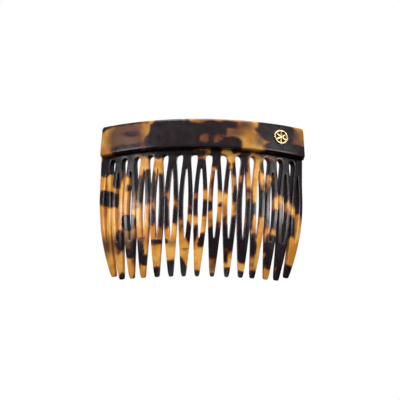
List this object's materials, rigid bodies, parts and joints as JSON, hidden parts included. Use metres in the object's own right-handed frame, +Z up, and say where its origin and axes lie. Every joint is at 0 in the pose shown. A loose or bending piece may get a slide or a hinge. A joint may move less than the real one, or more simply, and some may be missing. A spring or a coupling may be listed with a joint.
{
  "type": "decorative hair comb",
  "caption": "Curved tortoiseshell acetate side comb with split teeth, a thick header bar across its front and a small round gold-tone openwork emblem.",
  "frame": {"origin": "in the middle of the plate's thickness, at the root line of the middle tooth, where the hair stops when the comb is pushed in", "axes": "+Z up, from the tips to the bar; -Y out of the convex front; +X along the comb's width, to the side that carries the emblem"},
  "size_m": [0.0814, 0.0209, 0.0609],
  "materials": {
    "plate_acetate": "tumbled and polished tortoiseshell acetate, amber with dark brown patches",
    "bar_acetate": "tumbled and polished tortoiseshell acetate, dark brown with amber patches",
    "gold_tone_metal": "polished, gold tone"
  },
  "bodies": {
    "root": {"comb_plate": "plate_acetate", "header_bar": "bar_acetate", "emblem": "gold_tone_metal", "emblem_pins": "gold_tone_metal"}
  },
  "joints": []
}
